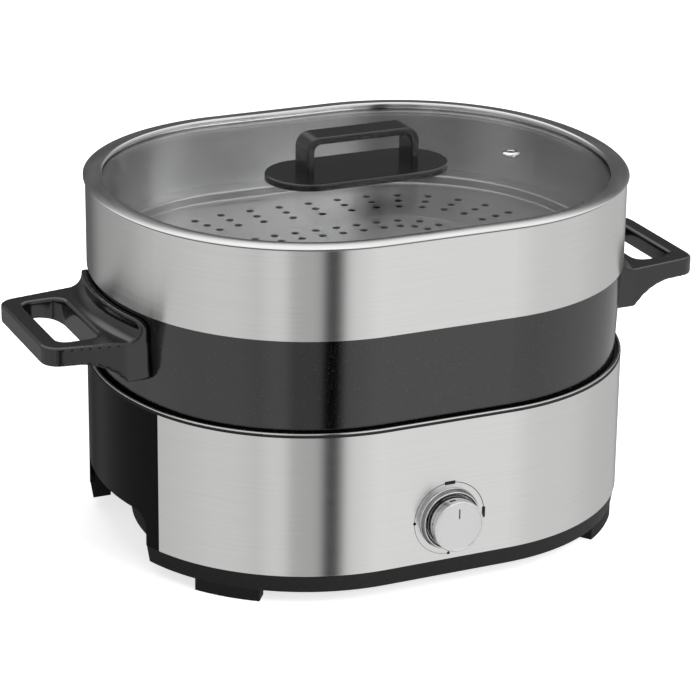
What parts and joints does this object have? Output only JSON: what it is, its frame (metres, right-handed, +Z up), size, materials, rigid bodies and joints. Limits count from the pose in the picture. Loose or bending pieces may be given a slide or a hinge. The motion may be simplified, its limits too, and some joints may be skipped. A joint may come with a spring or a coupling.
{
  "type": "electric hot pot",
  "caption": "Oval electric hot pot: heated base with a turning control knob, lift-out pot with loop handles, perforated steamer and a flat glass lid with a bow handle.",
  "frame": {"origin": "ground under the middle of the whole footprint, knob and handles included", "axes": "+X along the pot handles to the right, +Y to the rear (the knob faces -Y), +Z up"},
  "size_m": [0.437, 0.2916, 0.248],
  "materials": {
    "brushed_steel": "brushed",
    "chrome": "polished",
    "gloss_black": "gloss",
    "plinth_grey": "satin",
    "handle_black": "fine moulded texture",
    "foot_rubber": "matte",
    "lid_glass": "clear",
    "nonstick_grey": "non-stick coating with fine metallic flecks",
    "cast_aluminium": "machined",
    "steel_sheet": "plain sheet",
    "plain_steel": "plated",
    "phenolic": "moulded",
    "terminal_nylon": "moulded",
    "fuse_can": "drawn",
    "wire_silicone": "matte",
    "washer_silicone": "matte"
  },
  "bodies": {
    "base": {"base_housing": "gloss_black", "lower_housing": "gloss_black", "front_panel": "brushed_steel", "plinth_ring": "plinth_grey", "bottom_tub": "plinth_grey", "tub_collar": "plinth_grey", "foot_pads": "foot_rubber", "tray_screws": "plain_steel", "base_bezel": "gloss_black", "bezel_trim": "brushed_steel", "well_liner": "steel_sheet", "heating_plate": "cast_aluminium", "plate_posts": "plain_steel", "plate_screws": "plain_steel", "heating_element": "plain_steel", "sensor_guide": "steel_sheet", "sensor_spring": "plain_steel", "thermostat_body": "phenolic", "thermostat_bracket": "steel_sheet", "thermostat_screws": "plain_steel", "knob_ring": "chrome", "terminal_block": "terminal_nylon", "thermal_fuse": "fuse_can", "wiring": "wire_silicone", "cord_gland": "foot_rubber"},
    "sensor": {"sensor_cap": "cast_aluminium"},
    "knob": {"knob_cap": "chrome", "knob_hub": "phenolic", "control_shaft": "plain_steel"},
    "pot": {"pot_vessel": "nonstick_grey", "pot_handle_left": "handle_black", "pot_handle_right": "handle_black", "pot_handle_brackets": "steel_sheet", "pot_handle_screws": "plain_steel"},
    "steamer": {"steamer_wall": "brushed_steel", "steamer_tray": "brushed_steel"},
    "lid": {"lid_rim": "brushed_steel", "lid_glass": "lid_glass", "lid_handle_plate": "handle_black", "lid_handle_bow": "handle_black", "lid_handle_screws": "plain_steel", "lid_handle_washers": "washer_silicone", "steam_vent": "chrome"}
  },
  "joints": [
    {"name": "knob_turn", "type": "hinge", "parent": "base", "child": "knob", "pos_m": [0, -0.1315, 0.045], "axis": [0, 1, 0], "range_deg": [-180, 90]},
    {"name": "sensor_press", "type": "slide", "parent": "base", "child": "sensor", "axis": [0, 0, 1], "range_m": [-0.002, 0], "stiffness_N_per_m": 300, "springref_m": 0.004, "deforming": ["sensor_spring"]},
    {"name": "pot_lift", "type": "slide", "parent": "base", "child": "pot", "axis": [0, 0, 1], "range_m": [0, 0.12]},
    {"name": "steamer_lift", "type": "slide", "parent": "pot", "child": "steamer", "axis": [0, 0, 1], "range_m": [0, 0.1]},
    {"name": "lid_lift", "type": "slide", "parent": "steamer", "child": "lid", "axis": [0, 0, 1], "range_m": [0, 0.12]}
  ]
}
